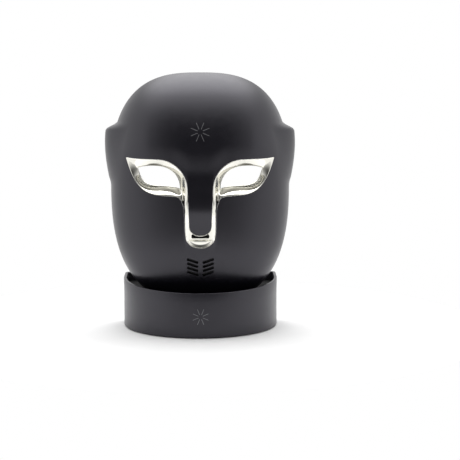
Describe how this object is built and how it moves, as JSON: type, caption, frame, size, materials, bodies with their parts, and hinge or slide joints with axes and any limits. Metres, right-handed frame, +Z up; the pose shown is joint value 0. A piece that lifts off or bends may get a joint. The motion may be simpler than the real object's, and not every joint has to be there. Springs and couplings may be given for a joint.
{
  "type": "led face mask",
  "caption": "Rigid light-therapy face mask with chrome eye and nose trim, folding temple arms and a power button, standing chin-down in a D-shaped charging dock.",
  "frame": {"origin": "on the floor under the dock, on the mask's left-right symmetry plane, at the centre of the dock's front curve", "axes": "+Z up, the mask's face looks along -Y, +X to the right of someone facing it"},
  "size_m": [0.1992, 0.2035, 0.265],
  "materials": {
    "charcoal_shell": "satin charcoal paint over moulded plastic",
    "bright_chrome": "mirror-bright plated plastic",
    "clear_window": "clear, lightly smoked moulded polycarbonate",
    "dark_plastic": "fine texture",
    "black_plastic": "matt",
    "ribbon": "amber film",
    "grey_silicone": "soft matt",
    "dark_silicone": "soft matt",
    "circuit_board": "solder mask",
    "led_board": "white solder mask with LED chips",
    "battery_foil": "foil pouch",
    "light_pipe": "clear",
    "steel": "zinc plated",
    "gold": "gold plated"
  },
  "bodies": {
    "dock": {"dock_housing": "charcoal_shell", "dock_base_plate": "dark_plastic", "dock_foot_mat": "dark_silicone", "dock_ballast": "steel", "dock_cradle": "dark_plastic", "dock_cradle_liner": "dark_silicone", "dock_charge_board": "circuit_board", "dock_pin_block": "black_plastic", "dock_power_inlet": "steel", "dock_screw_1": "steel", "dock_screw_2": "steel", "dock_screw_3": "steel", "dock_screw_4": "steel"},
    "mask": {"front_shell": "charcoal_shell", "eye_nose_trim": "bright_chrome", "inner_window": "clear_window", "rear_frame": "dark_plastic", "vent_insert": "black_plastic", "nose_baffle": "black_plastic", "led_ribbon_cable": "ribbon", "forehead_rest": "grey_silicone", "nose_rest": "grey_silicone", "control_board": "circuit_board", "battery_pack": "battery_foil", "buzzer": "black_plastic", "status_light": "light_pipe", "contact_block": "black_plastic", "contact_pad_1": "gold", "contact_pad_2": "gold", "contact_pad_3": "gold", "contact_pad_4": "gold", "frame_screw_1": "steel", "frame_screw_2": "steel", "frame_screw_3": "steel", "frame_screw_4": "steel", "frame_screw_5": "steel", "frame_screw_6": "steel", "led_board_forehead": "led_board", "led_board_chin": "led_board", "led_board_right_cheek": "led_board", "right_eye_cup": "grey_silicone", "right_wing_cover": "dark_plastic", "right_hinge_bracket": "steel", "right_hinge_pin": "steel", "led_board_left_cheek": "led_board", "left_eye_cup": "grey_silicone", "left_wing_cover": "dark_plastic", "left_hinge_bracket": "steel", "left_hinge_pin": "steel"},
    "right_arm": {"right_temple_arm": "charcoal_shell", "right_ear_tip": "dark_silicone"},
    "left_arm": {"left_temple_arm": "charcoal_shell", "left_ear_tip": "dark_silicone"},
    "button": {"power_button": "charcoal_shell"},
    "pin_1": {"charging_pin_1": "gold"},
    "pin_2": {"charging_pin_2": "gold"},
    "pin_3": {"charging_pin_3": "gold"},
    "pin_4": {"charging_pin_4": "gold"}
  },
  "joints": [
    {"name": "mask_lift", "type": "slide", "parent": "dock", "child": "mask", "axis": [0, 0, 1], "range_m": [0, 0.08]},
    {"name": "right_arm_fold", "type": "hinge", "parent": "mask", "child": "right_arm", "pos_m": [0.083, 0.0526, 0.19], "axis": [0, 0, 1], "range_deg": [0, 85]},
    {"name": "left_arm_fold", "type": "hinge", "parent": "mask", "child": "left_arm", "pos_m": [-0.083, 0.0526, 0.19], "axis": [0, 0, -1], "range_deg": [0, 85]},
    {"name": "button_press", "type": "slide", "parent": "mask", "child": "button", "axis": [-1, 0, 0], "range_m": [0, 0.0008], "stiffness_N_per_m": 300},
    {"name": "pin_1_press", "type": "slide", "parent": "dock", "child": "pin_1", "axis": [0, 0, -1], "range_m": [0, 0.0012], "stiffness_N_per_m": 200},
    {"name": "pin_2_press", "type": "slide", "parent": "dock", "child": "pin_2", "axis": [0, 0, -1], "range_m": [0, 0.0012], "stiffness_N_per_m": 200},
    {"name": "pin_3_press", "type": "slide", "parent": "dock", "child": "pin_3", "axis": [0, 0, -1], "range_m": [0, 0.0012], "stiffness_N_per_m": 200},
    {"name": "pin_4_press", "type": "slide", "parent": "dock", "child": "pin_4", "axis": [0, 0, -1], "range_m": [0, 0.0012], "stiffness_N_per_m": 200}
  ]
}
